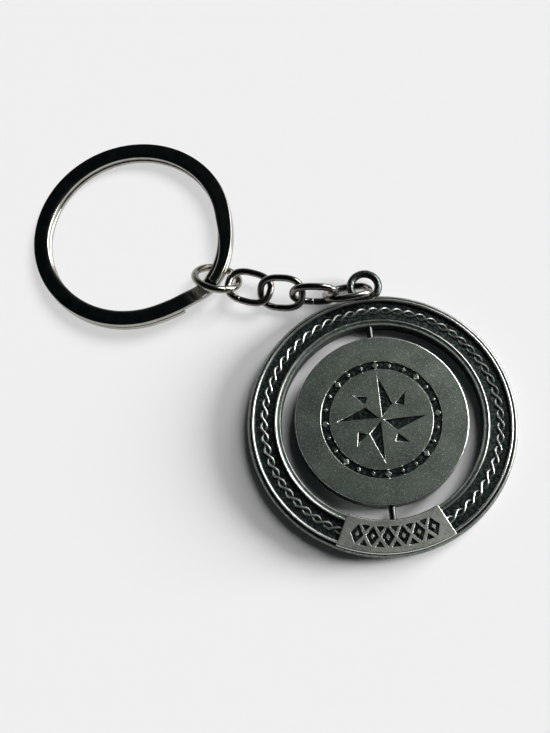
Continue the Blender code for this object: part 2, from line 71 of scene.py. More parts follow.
def make_camera():
    """A camera that looks ahead from its place, with the given direction towards the top of the picture."""
    lens = bpy.data.cameras.new("photo_camera")
    lens.lens = LENS_MM
    lens.clip_start = NEAREST_SEEN
    made = bpy.data.objects.new("photo_camera", lens)
    bpy.context.scene.collection.objects.link(made)
    right = CAMERA_AHEAD.cross(CAMERA_TOP).normalized()
    up = right.cross(CAMERA_AHEAD)
    turn = Matrix((right, up, -CAMERA_AHEAD)).transposed().to_4x4()
    made.matrix_world = Matrix.Translation(CAMERA_PLACE) @ turn
    return made


bpy.context.scene.camera = make_camera()
print("camera looks", [round(part, 3) for part in CAMERA_AHEAD])

# %% [markdown]
# A shader is a formula, and it reads best when it is written as one. The class Level wraps one output of a
# shader node, and its operators add the Math nodes, so `1 - wear` and `grain * 0.3 + 0.2` are real node
# trees.

# %% Shader maths


class Level:
    """One output of a node, which Python's operators work on."""

    def __init__(self, nodes, socket):
        self.nodes = nodes
        self.socket = socket

    def maths(self, operation, *numbers):
        return self.nodes.node("ShaderNodeMath", {"operation": operation}, dict(enumerate(numbers)))

    def __add__(self, other):
        return self.maths("ADD", self, other)

    def __sub__(self, other):
        return self.maths("SUBTRACT", self, other)

    def __rsub__(self, other):
        return self.maths("SUBTRACT", other, self)

    def __mul__(self, other):
        return self.maths("MULTIPLY", self, other)

    __radd__ = __add__
    __rmul__ = __mul__

    def within(self, low, high):
        """0 at low and below, 1 at high and above, and smooth between."""
        settings = {"interpolation_type": "SMOOTHSTEP"}
        inputs = {"Value": self, "From Min": low, "From Max": high}
        return self.nodes.node("ShaderNodeMapRange", settings, inputs)


print("a Level knows plus, minus and times")

# %% [markdown]
# Materials and the world are both trees of nodes round one shader, so one class holds what they share. Its
# method node adds any node: first the settings, such as a ramp's stops, and then the values or links of the
# sockets.

# %% Node trees
NEW_STOP_PLACE = 0.5


def set_stops(elements, stops):
    """Gives a ramp these stops, each with a position and a colour."""
    while len(elements) < len(stops):
        elements.new(NEW_STOP_PLACE)
    for element, (position, colour) in zip(elements, stops):
        element.position = position
        element.color = (*colour, 1.0)


class Nodes:
    """The nodes of a material or a world, which are built round its shader."""

    def __init__(self, owner, shader):
        owner.use_nodes = True
        self.tree = owner.node_tree
        self.shader = self.tree.nodes[shader]

    def feed(self, socket, value):
        """Sets a socket to a value, or links a node's output to it."""
        if isinstance(value, Level):
            self.tree.links.new(value.socket, socket)
        else:
            socket.default_value = value

    def node(self, kind, settings=None, inputs=None, output=0):
        """Adds any node: its settings first, then the values or links of its sockets."""
        made = self.tree.nodes.new(kind)
        for name, value in (settings or {}).items():
            if name == "stops":
                set_stops(made.color_ramp.elements, value)
            else:
                setattr(made, name, value)
        for name, value in (inputs or {}).items():
            self.feed(made.inputs[name], value)
        return Level(self, made.outputs[output])


print("node trees are ready")

# %% [markdown]
# A finish is a material with some tools of its own. Colours can't go through Math, which would turn them
# grey, so they are blended by a Mix node. That node has sockets of the same name for numbers, vectors and
# colours, and its colour sockets are told apart by their numbers.

# %% Finishes
MIX_SHARE, MIX_FIRST, MIX_SECOND = 0, 6, 7
MIX_RESULT = 2
GRAIN_ROUGHNESS = 0.6


class Finish(Nodes):
    """A material that is built round one Principled shader."""

    def __init__(self, name):
        self.material = bpy.data.materials.new(name)
        super().__init__(self.material, "Principled BSDF")

    def blend(self, first, second, share):
        """A colour between two colours."""
        inputs = {MIX_SHARE: share}
        for socket, value in ((MIX_FIRST, first), (MIX_SECOND, second)):
            inputs[socket] = value if isinstance(value, Level) else (*value, 1.0)
        return self.node("ShaderNodeMix", {"data_type": "RGBA"}, inputs, MIX_RESULT)

    def place(self, stretch, turn_deg):
        """Where a point is on the piece itself, so that nothing slides when the piece moves."""
        own = self.node("ShaderNodeTexCoord", output="Object")
        turned = self.node("ShaderNodeVectorRotate", None, {"Vector": own, "Angle": math.radians(turn_deg)})
        return self.node("ShaderNodeVectorMath", {"operation": "MULTIPLY"}, {0: turned, 1: stretch})

    def grain(self, size, detail=2.0, stretch=(1.0, 1.0, 1.0), turn_deg=0.0):
        """Cloudy noise with patches of about this size, which a small stretch draws out into marks."""
        inputs = {"Vector": self.place(stretch, turn_deg), "Scale": 1.0 / size}
        inputs.update({"Detail": detail, "Roughness": GRAIN_ROUGHNESS})
        return self.node("ShaderNodeTexNoise", None, inputs)

    def wear(self):
        """How worn bright the metal is: 0 in a blackened hollow and 1 on a rubbed edge. Some values also hold
        painted shade and a painted highlight.
        """
        return self.node("ShaderNodeAttribute", {"attribute_name": "wear"}, output="Fac")

    def relief(self, height, depth):
        """Fine unevenness of the surface, from a height between 0 and 1."""
        bump = self.node("ShaderNodeBump", None, {"Height": height, "Distance": depth}, output="Normal")
        self.feed(self.shader.inputs["Normal"], bump)

    def set(self, **values):
        for name, value in values.items():
            self.feed(self.shader.inputs[name.replace("_", " ").title()], value)


print("a colour is mixed by sockets", (MIX_SHARE, MIX_FIRST, MIX_SECOND))

# %% [markdown]
# The frame and the disc are cast in a soft pale alloy and then blackened in a bath. Rubbing takes the black
# off again where a cloth can reach, so hollows stay black, faces turn grey-green and edges shine. Each cast
# piece therefore carries a number called wear at its points, and one recipe reads it. Noise of three sizes
# breaks it up: specks as fine as a cast skin, a mottle a little coarser, and wide clouds that the bath left
# darker or lighter.

# %% The recipe for blackened metal
HOLLOW_BLACK = (0.014, 0.022, 0.021)
HOLLOW_GREY = (0.13, 0.15, 0.135)
RUBBED_BRIGHT = (0.86, 0.87, 0.82)
HOLLOW_WEAR, FACE_WEAR, EDGE_WEAR = 0.0, 0.5, 1.0

SPECK_SIZE = 0.17 * MM
MOTTLE_SIZE = 0.42 * MM
CLOUD_SIZE = 4.0 * MM
MARK_SIZE = 0.09 * MM
MARK_STRETCH = (1.0, 0.06, 1.0)
CAST_SKIN_DEPTH = 0.016 * MM

NOISE_MIDDLE = 0.5
UNEVEN_WEAR = 0.30
MOTTLE_CONTRAST = 1.1
CLOUD_CONTRAST = 0.9
MARK_CONTRAST = 1.6
DARK_PATCH_SHARE = 0.62
LIGHT_PATCH_SHARE = 1.45
SPECK_IN_HOLLOW_SHARE = 0.6
MOTTLE_IN_RELIEF_SHARE = 0.5
CLOUD_IN_ROUGHNESS = 0.10
SHINE_IN_ROUGHNESS = 0.16

# each pair is where an effect starts and where it is full
FACE_STARTS = (0.10, 0.40)
SHINE_STARTS = (0.66, 0.92)
SHINE_SPECKS = (0.26, 0.46)
BRIGHT_SPECKS = (0.57, 0.74)
GREY_HOLLOWS = (0.72, 1.1)


def times(values, factor):
    return tuple(value * factor for value in values)


def blackened_metal(name, grey, roughness, specks, marks_deg=None):
    """Reads the wear: black at 0, the given grey at 0.5 and rubbed bright at 1."""
    finish = Finish(name)
    speckle = finish.grain(SPECK_SIZE)
    mottle = finish.grain(MOTTLE_SIZE, detail=3.0)
    cloud = finish.grain(CLOUD_SIZE)
    wear = finish.wear() + (mottle - NOISE_MIDDLE) * UNEVEN_WEAR
    tone = (mottle - NOISE_MIDDLE) * MOTTLE_CONTRAST + (cloud - NOISE_MIDDLE) * CLOUD_CONTRAST + NOISE_MIDDLE
    if marks_deg is not None:
        marks = finish.grain(MARK_SIZE, stretch=MARK_STRETCH, turn_deg=marks_deg)
        tone = tone + (marks - NOISE_MIDDLE) * MARK_CONTRAST
    face = finish.blend(times(grey, DARK_PATCH_SHARE), times(grey, LIGHT_PATCH_SHARE), tone)
    face = finish.blend(face, RUBBED_BRIGHT, speckle.within(*BRIGHT_SPECKS) * specks)
    dust = (mottle + speckle * SPECK_IN_HOLLOW_SHARE).within(*GREY_HOLLOWS)
    hollow = finish.blend(HOLLOW_BLACK, HOLLOW_GREY, dust)
    shine = wear.within(*SHINE_STARTS) * speckle.within(*SHINE_SPECKS)
    colour = finish.blend(hollow, face, wear.within(*FACE_STARTS))
    finish.set(base_color=finish.blend(colour, RUBBED_BRIGHT, shine), metallic=1.0)
    finish.set(roughness=(cloud - NOISE_MIDDLE) * CLOUD_IN_ROUGHNESS - shine * SHINE_IN_ROUGHNESS + roughness)
    finish.relief(speckle + mottle * MOTTLE_IN_RELIEF_SHARE, CAST_SKIN_DEPTH)
    return finish.material


print("black gives way to grey between wears of", FACE_STARTS, "and shine starts at", SHINE_STARTS[0])

# %% [markdown]
# One recipe, four metals. The casting is the frame's. The disc is a little darker and glossier, the eyelet
# was left dark by the bath, and the banner is rubbed the most and has slanting polishing marks.

# %% The four blackened metals
CASTING = blackened_metal("blackened_casting", grey=(0.26, 0.30, 0.265), roughness=0.44, specks=0.55)
DISC_METAL = blackened_metal("blackened_disc", grey=(0.17, 0.205, 0.172), roughness=0.42, specks=0.70)
BANNER_METAL = blackened_metal(
    "blackened_banner", grey=(0.46, 0.49, 0.435), roughness=0.42, specks=0.65, marks_deg=-50.0
)
EYELET_METAL = blackened_metal("blackened_eyelet", grey=(0.17, 0.19, 0.17), roughness=0.30, specks=0.55)
print("finishes:", CASTING.name, DISC_METAL.name, BANNER_METAL.name, EYELET_METAL.name)

# %% [markdown]
# Most pieces here are skins over a grid of points: a turned ring, a bent wire and a flat band are all rows
# of points that repeat round or along something. One function turns such a grid into a mesh. It can join
# the last row to the first or cap both, and it stores the wear of every point.

# %% Skins over grids of points
CREASE_DEG = 35.0


def put(name, mesh, finish, crease_deg=CREASE_DEG):
    """Makes an object of a mesh, smooth apart from its sharp creases."""
    shape = bmesh.new()
    shape.from_mesh(mesh)
    bmesh.ops.recalc_face_normals(shape, faces=shape.faces)
    shape.to_mesh(mesh)
    shape.free()
    mesh.materials.append(finish)
    mesh.shade_smooth()
    mesh.set_sharp_from_angle(angle=math.radians(crease_deg))
    made = bpy.data.objects.new(name, mesh)
    bpy.context.scene.collection.objects.link(made)
    return made


def grid_faces(rows, points, loop_rows):
    """Four-sided faces between neighbouring rows, each of which is closed on itself."""
    faces = []
    for row in range(rows if loop_rows else rows - 1):
        here = row * points
        next_row = (row + 1) % rows * points
        for point in range(points):
            after = (point + 1) % points
            faces.append((here + point, here + after, next_row + after, next_row + point))
    return faces


def skin(name, grid, finish, wear=None, loop_rows=True):
    """Covers rows of points, each closed on itself. Without loop_rows the first and last rows are capped."""
    grid = np.asarray(grid, float)
    rows, points = grid.shape[:2]
    faces = grid_faces(rows, points, loop_rows)
    if not loop_rows:
        faces += [tuple(range(points)), tuple(range((rows - 1) * points, rows * points))]
    mesh = bpy.data.meshes.new(name)
    mesh.from_pydata(grid.reshape(-1, 3).tolist(), [], faces)
    if wear is not None:
        layer = mesh.attributes.new("wear", "FLOAT", "POINT")
        layer.data.foreach_set("value", np.broadcast_to(wear, (rows, points)).reshape(-1).astype(np.float32))
    return put(name, mesh, finish)


print("a crease is sharp from", CREASE_DEG, "degrees")

# %% [markdown]
# A wire is a tube: rings of points round a line, each ring square to the line. Every wire here bends in one
# plane or nearly so. The rings are laid out from that plane's own upward direction, which keeps them from
# twisting along the way.

# %% Tubes along a line


def once_round(count, whole=math.tau):
    """This many evenly spaced angles, once round."""
    return np.arange(count) * whole / count


def unit(rows):
    return rows / np.linalg.norm(rows, axis=1, keepdims=True)


def tube_rows(line, radius, sides, closed, upward=(0.0, 0.0, 1.0)):
    """Rings of points round a line of points that bends in the plane square to upward."""
    line = np.asarray(line, float)
    radius = np.broadcast_to(radius, len(line))
    if closed:
        ahead = unit(np.roll(line, -1, axis=0) - np.roll(line, 1, axis=0))
    else:
        ahead = unit(np.gradient(line, axis=0))
    side = unit(np.cross(ahead, upward))
    up = np.cross(side, ahead)
    turn = once_round(sides)
    across = side[:, None, :] * np.cos(turn)[None, :, None] + up[:, None, :] * np.sin(turn)[None, :, None]
    return line[:, None, :] + across * radius[:, None, None]


print("a quarter of the way round is", once_round(4, 360.0)[1], "degrees")

# %% [markdown]
# The pendant's places come from its solids. The disc's box gives the middle, and the frame's box gives the
# radius. From there on, a pendant place is a radius and an angle, counted counter-clockwise from +X, with
# the eyelet at 90 degrees and the banner at -90.

# %% Pendant places
disc_low, disc_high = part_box("spinner_disc")
frame_low, frame_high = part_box("frame")
PENDANT_X = (disc_low.x + disc_high.x) / 2
PENDANT_Y = (disc_low.y + disc_high.y) / 2
FRAME_RADIUS = (frame_high.x - frame_low.x) / 2
DISC_RADIUS = (disc_high.x - disc_low.x) / 2
DISC_TOP = disc_high.z
DISC_FOOT = disc_low.z
BANNER_HEADING_DEG = -90.0


def around(radius, angle_deg, height):
    """Points at these radii, angles and heights about the pendant's middle."""
    angle = np.radians(angle_deg)
    radius, angle, height = np.broadcast_arrays(radius, angle, height)
    return np.stack([PENDANT_X + radius * np.cos(angle), PENDANT_Y + radius * np.sin(angle), height], axis=-1)


print(f"frame radius {FRAME_RADIUS / MM:.2f} mm, disc radius {DISC_RADIUS / MM:.2f} mm")

# %% [markdown]
# The frame's rim is a turned shape, so its section says everything: flat back, round edge, dark groove,
# thin bright ridge, sunk border, a second ridge, and a lip that falls into the opening. Each corner of the
# section has a radius of its own, because a highlight on metal is nothing but a rounded corner, and each
# has its wear.

# %% The rim's section
CORNER_STEPS = 5
LONGEST_CORNER_SHARE = 0.45

# inset from the rim's edge, height and corner radius, all in mm, and the wear
RIM_SECTION_MM = (
    (4.70, 0.00, 0.10, 0.30),
    (0.30, 0.00, 0.15, 0.45),
    (0.00, 0.30, 0.15, 0.25),
    (0.00, 1.86, 0.16, 0.25),
    (0.24, 2.13, 0.10, 0.80),
    (0.42, 2.10, 0.05, 0.40),
    (0.50, 1.94, 0.04, 0.00),
    (0.62, 1.94, 0.04, 0.00),
    (0.76, 2.62, 0.06, 0.90),
    (0.90, 2.70, 0.07, 1.00),
    (1.04, 2.60, 0.06, 0.85),
    (1.17, 2.10, 0.07, 0.00),
    (4.04, 2.10, 0.07, 0.00),
    (4.16, 2.58, 0.06, 0.85),
    (4.30, 2.70, 0.08, 1.00),
    (4.46, 2.60, 0.06, 0.75),
    (4.56, 2.48, 0.05, 0.22),
    (4.78, 2.47, 0.04, 0.30),
    (4.96, 2.48, 0.06, 0.70),
    (5.07, 2.36, 0.06, 0.40),
    # the wall below is black: partly patina, partly painted shade that keeps the gap round the disc dark
    (5.07, 2.24, 0.04, 0.00),
    (5.07, 0.30, 0.10, 0.00),
)


def rounded_section(corners):
    """A closed section with every corner turned into a short arc, as rows of (inset, height, wear)."""
    made = []
    count = len(corners)
    for index, (x, y, radius, wear) in enumerate(corners):
        here = np.array([x, y])
        before = np.array(corners[index - 1][:2]) - here
        after = np.array(corners[(index + 1) % count][:2]) - here
        reach = [min(radius, np.linalg.norm(side) * LONGEST_CORNER_SHARE) for side in (before, after)]
        start = here + before / np.linalg.norm(before) * reach[0]
        end = here + after / np.linalg.norm(after) * reach[1]
        for step in range(CORNER_STEPS + 1):
            t = step / CORNER_STEPS
            point = start * (1 - t) ** 2 + here * 2 * t * (1 - t) + end * t**2
            made.append((*point, wear))
    return np.array(made)


rim_section = rounded_section(RIM_SECTION_MM)
print("the rim's section has", len(RIM_SECTION_MM), "corners and", len(rim_section), "points")

# %% [markdown]
# A lathe turns a section into a ring. Here the section is repeated at equal angles all the way round, which
# gives the same shape and lets every point keep its wear. This one piece takes the place of the frame's
# solid, and the rope, the banner and the eyelet are laid on it.

# %% The rim
RIM_STEPS = 288


def make_rim():
    inset, height, wear = rim_section.T[:, None, :]
    angles = once_round(RIM_STEPS, 360.0)[:, None]
    grid = around(FRAME_RADIUS - inset * MM, angles, height * MM)
    return skin("frame_rim", grid, CASTING, wear=wear)


rim = make_rim()
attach(rim, "pendant_frame")
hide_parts("frame")
print("rim:", len(rim.data.polygons), "faces")

# %% [markdown]
# The border's ornament is a two-strand rope in low relief. Each strand swings between the two sides of the
# border as a sine wave, and rises and dips as a cosine, which is just what a twist does: the strand that
# comes inwards always passes over the one that goes out. It stops just under the banner, so each strand is
# an open tube.

# %% The rope border
BANNER_HALF_SPAN_DEG = 26.0
BORDER_FLOOR = 2.10 * MM
ROPE_RADIUS = FRAME_RADIUS - 2.55 * MM
ROPE_SWING = 0.42 * MM
ROPE_RISE = 0.14 * MM
ROPE_HEIGHT = 2.13 * MM
ROPE_STRAND_RADIUS = 0.175 * MM
ROPE_SIDES = 10
ROPE_TWISTS = 30
ROPE_STEP_DEG = 0.5
ROPE_TUCK_DEG = 0.5
ROPE_START_DEG = BANNER_HEADING_DEG + BANNER_HALF_SPAN_DEG - ROPE_TUCK_DEG
ROPE_SPAN_DEG = 360.0 - 2 * (BANNER_HALF_SPAN_DEG - ROPE_TUCK_DEG)
ROPE_WEAR_GAIN = 1.1
ROPE_LEAST_WEAR = 0.1


def smooth_step(share):
    """Turns a share from 0 to 1 into one that starts and ends gently."""
    share = np.clip(share, 0.0, 1.0)
    return share * share * (3.0 - 2.0 * share)


def make_rope_strand(name, side):
    angles = np.arange(ROPE_START_DEG, ROPE_START_DEG + ROPE_SPAN_DEG + ROPE_STEP_DEG / 2, ROPE_STEP_DEG)
    phase = np.radians(angles * ROPE_TWISTS)
    radius = ROPE_RADIUS + side * ROPE_SWING * np.sin(phase)
    height = ROPE_HEIGHT - side * ROPE_RISE * np.cos(phase)
    grid = tube_rows(around(radius, angles, height), ROPE_STRAND_RADIUS, ROPE_SIDES, closed=False)
    above_floor = (grid[:, :, 2] - BORDER_FLOOR) / (2 * ROPE_STRAND_RADIUS)
    wear = smooth_step(above_floor * ROPE_WEAR_GAIN + ROPE_LEAST_WEAR)
    return skin(name, grid, CASTING, wear=wear, loop_rows=False)


for name, side in (("rope_strand_a", 1.0), ("rope_strand_b", -1.0)):
    strand = make_rope_strand(name, side)
    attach(strand, "pendant_frame")
    print(name, len(strand.data.polygons), "faces")

# %% [markdown]
# The banner and the disc are both flat plates with sunk ornament. Cutting with a Boolean would leave razor
# edges, which don't catch any light, so these plates are made as a die cutter makes them. Every outline is
# a function of a distance: at 0 it is the edge of the flat face, and further on it has moved down the slope
# beside that edge. Loops at growing distances, each a little lower, are joined into a rounded, sloping
# wall.

# %% Loops down a slope and round an edge
# how far out and how far down each loop lies, as shares of the slope and the depth, and its wear
CUT_SLOPE_SHARES = (
    (0.0, 0.0, FACE_WEAR),
    (0.1, 0.02, 0.9),
    (0.3, 0.12, EDGE_WEAR),
    (0.52, 0.35, 0.9),
    (0.8, 0.75, 0.3),
    (1.0, 1.0, HOLLOW_WEAR),
)
TOP_WORN = (FACE_WEAR, EDGE_WEAR, EDGE_WEAR, EDGE_WEAR, 0.8, 0.4)
# the banner's edge is bright down to its wall: partly wear, partly a painted highlight
WORN_AND_HIGHLIT = (FACE_WEAR, 0.8, EDGE_WEAR, EDGE_WEAR, EDGE_WEAR, EDGE_WEAR)
ROUND_EDGE_STEPS = len(TOP_WORN)


def at_height(loop, height):
    return [(x, y, height) for x, y in loop]


def cut_rows(outline, top, depth, slope):
    """The loops from a face's edge down to the sunk floor, each with its wear."""
    rows = []
    for out_share, down_share, wear in CUT_SLOPE_SHARES:
        rows.append((at_height(outline(out_share * slope), top - down_share * depth), wear))
    return rows


def round_edge_rows(outline, top, radius, direction, edge_wear_and_highlight, wall_wear_and_shade):
    """The loops round an outer edge, down to the side wall. Direction -1 is a face that looks down."""
    rows = []
    for step, wear in enumerate((*edge_wear_and_highlight, wall_wear_and_shade)):
        turn = math.radians(90.0 * step / ROUND_EDGE_STEPS)
        drop = direction * radius * (1 - math.cos(turn))
        rows.append((at_height(outline(radius * math.sin(turn)), top - drop), wear))
    return rows


print("a cut has", len(CUT_SLOPE_SHARES), "loops and a rounded edge has", ROUND_EDGE_STEPS + 1)

# %% [markdown]
# A plate starts as an empty mesh with a place for the wear. Skirts join the loops, the flat face and the
# sunk floors are filled between the first loops and between the last, and at the end the points that lie
# in the same place are welded. Level faces stay flat, so that the smooth shading of the rounded edges
# doesn't creep over them.

# %% Plates
SAME_PLACE = 0.0001 * MM
PLATE_CREASE_DEG = 50.0
LEVEL_NORMAL = 0.9999


def new_plate():
    shape = bmesh.new()
    shape.verts.layers.float.new("wear")
    return shape


def add_skirt(shape, rows):
    """Joins closed loops, one below the other, into a band of faces."""
    layer = shape.verts.layers.float["wear"]
    loops = []
    for points, wear in rows:
        loops.append([shape.verts.new(point) for point in points])
        for vertex in loops[-1]:
            vertex[layer] = wear
    for upper, lower in zip(loops, loops[1:]):
        for index in range(len(upper)):
            after = (index + 1) % len(upper)
            shape.faces.new((upper[index], upper[after], lower[after], lower[index]))


def add_flat(shape, loops, height, wear):
    """Fills the space between loops that lie inside one another."""
    layer = shape.verts.layers.float["wear"]
    flat = [[Vector((x, y, 0.0)) for x, y in loop] for loop in loops]
    corners = [shape.verts.new((point.x, point.y, height)) for loop in flat for point in loop]
    for corner in corners:
        corner[layer] = wear
    for triangle in tessellate_polygon(flat):
        shape.faces.new([corners[index] for index in triangle])


def finish_plate(name, shape, finish):
    """Welds the loops and fills of a plate, and keeps its level faces flat."""
    bmesh.ops.remove_doubles(shape, verts=shape.verts, dist=SAME_PLACE)
    mesh = bpy.data.meshes.new(name)
    shape.to_mesh(mesh)
    shape.free()
    made = put(name, mesh, finish, crease_deg=PLATE_CREASE_DEG)
    for face in mesh.polygons:
        face.use_smooth = abs(face.normal.z) < LEVEL_NORMAL
    return made


print("points closer than", SAME_PLACE / MM, "mm are welded")

# %% [markdown]
# The ornament needs only three kinds of outline: a ring about the pendant's middle, a plate between two
# radii, and any convex shape with straight sides. Moving a straight side along its own normal and meeting
# the next one again is a two-line problem, which a small linear equation solves.

# %% Outlines that can move


def ring_outline(radius, steps, outwards=1.0):
    """A circle about the pendant's middle that grows, or shrinks, with the distance."""
    angles = once_round(steps, 360.0)
    return lambda distance: around(radius + outwards * distance, angles, 0.0)[:, :2]


def sector_outline(inner, outer, half_span_deg, middle_deg, steps):
    """A plate between two radii that grows with the distance."""

    def outline(distance):
        grown_deg = half_span_deg + math.degrees(distance / outer)
        angles = middle_deg + grown_deg * np.linspace(-1.0, 1.0, steps)
        far = around(outer + distance, angles, 0.0)
        near = around(inner - distance, angles[::-1], 0.0)
        return np.concatenate([far, near])[:, :2]

    return outline


def straight_outline(corners, outwards=-1.0):
    """A convex shape whose sides move inwards with the distance, or outwards."""
    corners = np.asarray(corners, float)
    ahead = unit(np.roll(corners, -1, axis=0) - corners)
    out = np.stack([ahead[:, 1], -ahead[:, 0]], axis=-1)
    out *= np.sign(np.sum((corners - corners.mean(axis=0)) * out, axis=1, keepdims=True))

    def outline(distance):
        moved = corners + out * distance * outwards
        made = []
        for index in range(len(corners)):
            sides = np.array([ahead[index - 1], -ahead[index]]).T
            share = np.linalg.solve(sides, moved[index] - moved[index - 1])[0]
            made.append(moved[index - 1] + ahead[index - 1] * share)
        return np.array(made)

    return outline


def about_pendant(points, angle_deg, mirrored=False):
    """Corners given along and across a direction, set about the pendant's middle."""
    angle = math.radians(angle_deg)
    along, across = np.asarray(points, float).T
    x = along * math.cos(angle) - across * math.sin(angle)
    y = along * math.sin(angle) + across * math.cos(angle)
    return np.stack([PENDANT_X + (-x if mirrored else x), PENDANT_Y + y], axis=-1)


def lozenge(middle, half_length, half_width):
    """The corners of a lozenge on the axis of its direction."""
    near, far = middle - half_length, middle + half_length
    return [(far, 0.0), (middle, half_width), (near, 0.0), (middle, -half_width)]


narrower = straight_outline(lozenge(0.0, MM, MM))(0.1 * MM)
print("a 2 mm lozenge moved in by 0.1 mm is", np.round(np.ptp(narrower[:, 0]) / MM, 2), "mm long")

# %% [markdown]
# The banner is a plate that bridges the rim over the lower pin, with straight radial ends. Six sunk
# lozenges fill it, each with a small raised one in its middle, and sunk triangles lie between them. It is
# an ornament made up for this lesson, as bold as the plate asks for: black shapes that leave narrow bright
# lines.

# %% The banner's ornament
BANNER_OUTER = FRAME_RADIUS - 0.36 * MM
BANNER_INNER = FRAME_RADIUS - 5.21 * MM
BANNER_MIDDLE = (BANNER_OUTER + BANNER_INNER) / 2
LOZENGE_COUNT = 6
LOZENGE_PITCH_DEG = 7.4
LOZENGE_HALVES = (1.50 * MM, 0.98 * MM)
RAISED_LOZENGE_SHARE = 0.24
WEDGE_HALF_WIDTH = 0.72 * MM
WEDGE_TIP = 0.50 * MM
WEDGE_BACK = 1.50 * MM


def banner_headings(count):
    """The directions of this many shapes, side by side along the banner."""
    return [BANNER_HEADING_DEG + LOZENGE_PITCH_DEG * (index - (count - 1) / 2) for index in range(count)]


def lozenge_outlines():
    """The sunk lozenges, and the raised ones in their middles."""
    raised_halves = times(LOZENGE_HALVES, RAISED_LOZENGE_SHARE)
    sunk, raised = [], []
    for heading in banner_headings(LOZENGE_COUNT):
        corners = about_pendant(lozenge(BANNER_MIDDLE, *LOZENGE_HALVES), heading)
        sunk.append(straight_outline(corners))
        corners = about_pendant(lozenge(BANNER_MIDDLE, *raised_halves), heading)
        raised.append(straight_outline(corners, outwards=1.0))
    return sunk, raised


def wedge_outlines():
    """The sunk triangles between the lozenges, which point at the banner's middle line."""
    wedges = []
    for heading in banner_headings(LOZENGE_COUNT - 1):
        for side in (1.0, -1.0):
            back = BANNER_MIDDLE + side * WEDGE_BACK
            tip = BANNER_MIDDLE + side * WEDGE_TIP
            corners = [(back, WEDGE_HALF_WIDTH), (tip, 0.0), (back, -WEDGE_HALF_WIDTH)]
            wedges.append(straight_outline(about_pendant(corners, heading)))
    return wedges


print("the lozenges lie at", np.round(banner_headings(LOZENGE_COUNT), 1), "degrees")

# %% [markdown]
# The plate is built from the top down: the sloping walls of the ornament, the raised lozenges, the black
# floors, the bright face with its holes, and last the rounded edge, the side wall and the hidden back,
# which sinks into the rim.

# %% The banner
BANNER_TOP = 3.0 * MM
BANNER_FOOT = 0.5 * MM
BANNER_EDGE = 0.20 * MM
BANNER_DEPTH = 0.25 * MM
BANNER_SLOPE = 0.08 * MM
BANNER_STEPS = 48
BANNER_WALL_WEAR = 0.6
BANNER_BACK_WEAR = 0.1


def banner_plate_outline():
    half_span_deg = BANNER_HALF_SPAN_DEG - math.degrees(BANNER_EDGE / BANNER_OUTER)
    radii = (BANNER_INNER + BANNER_EDGE, BANNER_OUTER - BANNER_EDGE)
    return sector_outline(*radii, half_span_deg, BANNER_HEADING_DEG, BANNER_STEPS)


def make_banner():
    shape = new_plate()
    outer = banner_plate_outline()
    sunk, raised = lozenge_outlines()
    wedges = wedge_outlines()
    for outline in sunk + raised + wedges:
        add_skirt(shape, cut_rows(outline, BANNER_TOP, BANNER_DEPTH, BANNER_SLOPE))
    for outline in raised:
        add_flat(shape, [outline(0.0)], BANNER_TOP, FACE_WEAR)
    floors = [[hole(BANNER_SLOPE), island(BANNER_SLOPE)] for hole, island in zip(sunk, raised)]
    floors += [[outline(BANNER_SLOPE)] for outline in wedges]
    for floor in floors:
        add_flat(shape, floor, BANNER_TOP - BANNER_DEPTH, HOLLOW_WEAR)
    add_flat(shape, [outline(0.0) for outline in [outer, *sunk, *wedges]], BANNER_TOP, FACE_WEAR)
    edge = round_edge_rows(outer, BANNER_TOP, BANNER_EDGE, 1.0, WORN_AND_HIGHLIT, BANNER_WALL_WEAR)
    foot = (at_height(outer(BANNER_EDGE), BANNER_FOOT), BANNER_BACK_WEAR)
    add_skirt(shape, edge + [foot])
    add_flat(shape, [outer(BANNER_EDGE)], BANNER_FOOT, BANNER_BACK_WEAR)
    return finish_plate("banner_plate", shape, BANNER_METAL)


banner = make_banner()
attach(banner, "pendant_frame")
print("banner:", len(banner.data.polygons), "faces")

# %% [markdown]
# The eyelet is cast in one with the rim: a ring of round wire that lies flat and sinks a little into the
# rim's edge. Its place is the frame's far side along Y, less its own outer radius. A cloth hardly
# reaches it, so it is little worn, and a bit more on top than below.

# %% The eyelet
EYELET_WIRE_RADIUS = 0.6 * MM
EYELET_RADIUS = 2.15 * MM
EYELET_HEIGHT = 1.85 * MM
EYELET_Y = frame_high.y - EYELET_WIRE_RADIUS - EYELET_RADIUS
EYELET_MIDDLE = np.array([PENDANT_X, EYELET_Y, EYELET_HEIGHT])
EYELET_STEPS = 72
EYELET_SIDES = 24
EYELET_WEAR = 0.12
EYELET_TOP_WEAR = 0.12


def make_eyelet():
    turns = once_round(EYELET_STEPS)
    line = EYELET_MIDDLE + EYELET_RADIUS * np.stack([np.cos(turns), np.sin(turns), 0 * turns], axis=-1)
    grid = tube_rows(line, EYELET_WIRE_RADIUS, EYELET_SIDES, closed=True)
    top_share = (grid[:, :, 2] - EYELET_HEIGHT) / EYELET_WIRE_RADIUS
    return skin("eyelet", grid, EYELET_METAL, wear=EYELET_WEAR + EYELET_TOP_WEAR * top_share)


eyelet = make_eyelet()
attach(eyelet, "pendant_frame")
print("eyelet:", len(eyelet.data.polygons), "faces")

# %% [markdown]
# The disc is a thick plate engraved on both faces, so that it shows something whichever way it stops. Here
# the engraving is a compass rose in a sunk ring with raised studs, a design made up for this lesson. Each
# point of the rose has one half sunk and blackened, and the other half left bright, which makes it look
# folded.

# %% The disc's engraving
GROOVE_OUTER = DISC_RADIUS - 3.8 * MM
GROOVE_INNER = GROOVE_OUTER - 1.4 * MM
ROSE_REACH = GROOVE_INNER - 0.30 * MM
ROSE_SHORT_SHARE = 0.80
ROSE_HIP_SHARE = 0.29
ROSE_SHOULDER_SHARE = 0.30
ROSE_LINE = 0.07 * MM
ROSE_POINTS = 8
STUD_COUNT = 24
STUD_HALF = 0.20 * MM
POINT_STUD_HALF = 0.40 * MM


